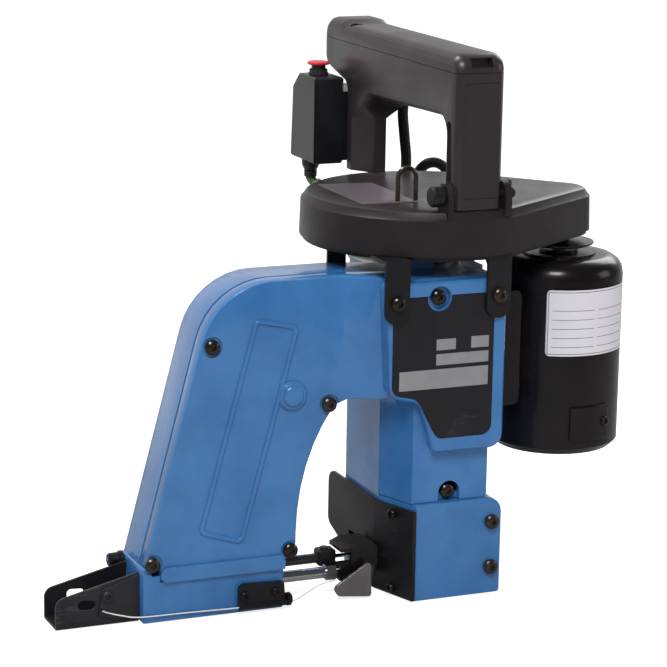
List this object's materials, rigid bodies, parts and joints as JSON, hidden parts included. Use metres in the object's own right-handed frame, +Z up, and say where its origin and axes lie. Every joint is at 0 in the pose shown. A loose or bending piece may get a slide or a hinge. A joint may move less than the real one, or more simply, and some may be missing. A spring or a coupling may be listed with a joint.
{
  "type": "bag closer sewing machine",
  "caption": "Arched hand-held sewing machine with a needle leg, looper column, belt cover, round motor and top handle, used to stitch the mouths of filled sacks shut",
  "frame": {"origin": "foot of the main shaft's axis on the base plane", "axes": "+X along the front from the needle leg to the motor, +Y from the front to the back, +Z up"},
  "size_m": [0.3745, 0.2103, 0.3307],
  "materials": {
    "blue_enamel": "hammered gloss enamel on cast aluminium",
    "black_plate": "gloss black",
    "black_oxide": "satin black on steel",
    "black_paint": "gloss black paint",
    "black_plastic": "satin moulded",
    "grey_plastic": "fine textured",
    "red_plastic": "gloss",
    "rubber": "matt",
    "green_lead": "satin",
    "thread": "matt",
    "steel": "turned",
    "dark_steel": "ground, darkened",
    "bright_steel": "satin",
    "chrome": "polished",
    "bronze_oxide": "dark bronze",
    "aluminium": "turned",
    "copper": "wound",
    "cast_iron": "as cast"
  },
  "bodies": {
    "machine_body": {"main_frame": "blue_enamel", "front_cover": "blue_enamel", "lower_cover": "blue_enamel", "nameplate": "black_plate", "throat_plate": "black_oxide", "bag_guide": "black_oxide", "bearing_flange": "aluminium", "upper_bearing": "steel", "lower_bearing": "steel", "lever_pivot": "steel", "presser_spring": "steel", "motor_housing": "black_paint", "motor_hatch": "black_paint", "motor_bracket": "black_paint", "motor_stator": "copper", "drive_belt": "rubber", "belt_cover": "black_plastic", "cover_bracket": "black_oxide", "handle_body": "grey_plastic", "handle_top": "grey_plastic", "handle_pin": "black_oxide", "pin_clip": "steel", "switch_box": "black_plastic", "button_bush": "black_plastic", "thread_loop": "bronze_oxide", "thread_bracket": "black_oxide", "thread": "thread", "switch_lead": "green_lead", "handle_lead": "rubber", "motor_lead": "rubber", "cover_screw_1": "bronze_oxide", "cover_screw_2": "bronze_oxide", "cover_screw_3": "bronze_oxide", "cover_screw_4": "bronze_oxide", "cover_screw_5": "bronze_oxide", "cover_screw_6": "bronze_oxide", "lower_screw_1": "bronze_oxide", "lower_screw_2": "bronze_oxide", "strap_screw_left": "bronze_oxide", "strap_screw_right": "bronze_oxide"},
    "drive": {"main_shaft": "steel", "drive_pulley": "aluminium", "needle_eccentric": "steel", "feed_eccentric": "steel"},
    "motor_drive": {"motor_rotor": "steel", "motor_pulley": "aluminium", "motor_fan": "black_paint"},
    "lever": {"needle_lever": "cast_iron"},
    "rod": {"connecting_rod": "steel"},
    "needle_slide": {"needle_bar": "dark_steel", "needle_clamp": "black_oxide", "needle": "chrome"},
    "presser": {"presser_bar": "chrome", "presser_foot": "black_oxide", "foot_guard": "bright_steel"},
    "looper_arm": {"looper": "steel"},
    "feed": {"feed_dog": "steel"},
    "button": {"start_button": "red_plastic"},
    "knob": {"tension_knob": "black_oxide"}
  },
  "joints": [
    {"name": "main_shaft_spin", "type": "hinge", "parent": "machine_body", "child": "drive", "pos_m": [0, 0, 0.22], "axis": [0, 0, 1], "continuous": true},
    {"name": "motor_spin", "type": "hinge", "parent": "machine_body", "child": "motor_drive", "pos_m": [0.0877, -0.008, 0.2], "axis": [0, 0, 1], "continuous": true},
    {"name": "lever_swing", "type": "hinge", "parent": "machine_body", "child": "lever", "pos_m": [-0.1042, -0.017, 0.1299], "axis": [0, 1, 0], "range_deg": [0, 13]},
    {"name": "rod_slide", "type": "slide", "parent": "machine_body", "child": "rod", "axis": [1, 0, 0], "range_m": [0, 0.0056]},
    {"name": "needle_stroke", "type": "slide", "parent": "machine_body", "child": "needle_slide", "axis": [-1, 0, 0], "range_m": [0, 0.0275]},
    {"name": "presser_lift", "type": "slide", "parent": "machine_body", "child": "presser", "axis": [-1, 0, 0], "range_m": [0, 0.008], "stiffness_N_per_m": 600},
    {"name": "looper_rock", "type": "hinge", "parent": "machine_body", "child": "looper_arm", "pos_m": [-0.015, -0.007, 0.02], "axis": [0, 0, 1], "range_deg": [-6, 6]},
    {"name": "feed_walk", "type": "slide", "parent": "machine_body", "child": "feed", "axis": [0, 1, 0], "range_m": [-0.003, 0.003]},
    {"name": "start_press", "type": "slide", "parent": "machine_body", "child": "button", "axis": [0, 0, -1], "range_m": [0, 0.0025], "stiffness_N_per_m": 400},
    {"name": "tension_turn", "type": "hinge", "parent": "machine_body", "child": "knob", "pos_m": [-0.1963, -0.0085, 0.029], "axis": [1, 0, 0], "range_deg": [-180, 180]}
  ],
  "couplings": [
    {"joint": "motor_spin", "follows": "main_shaft_spin", "ratio": 6.3},
    {"joint": "rod_slide", "follows": "lever_swing", "m_per_rad": 0.0241},
    {"joint": "needle_stroke", "follows": "lever_swing", "m_per_rad": 0.1181}
  ]
}
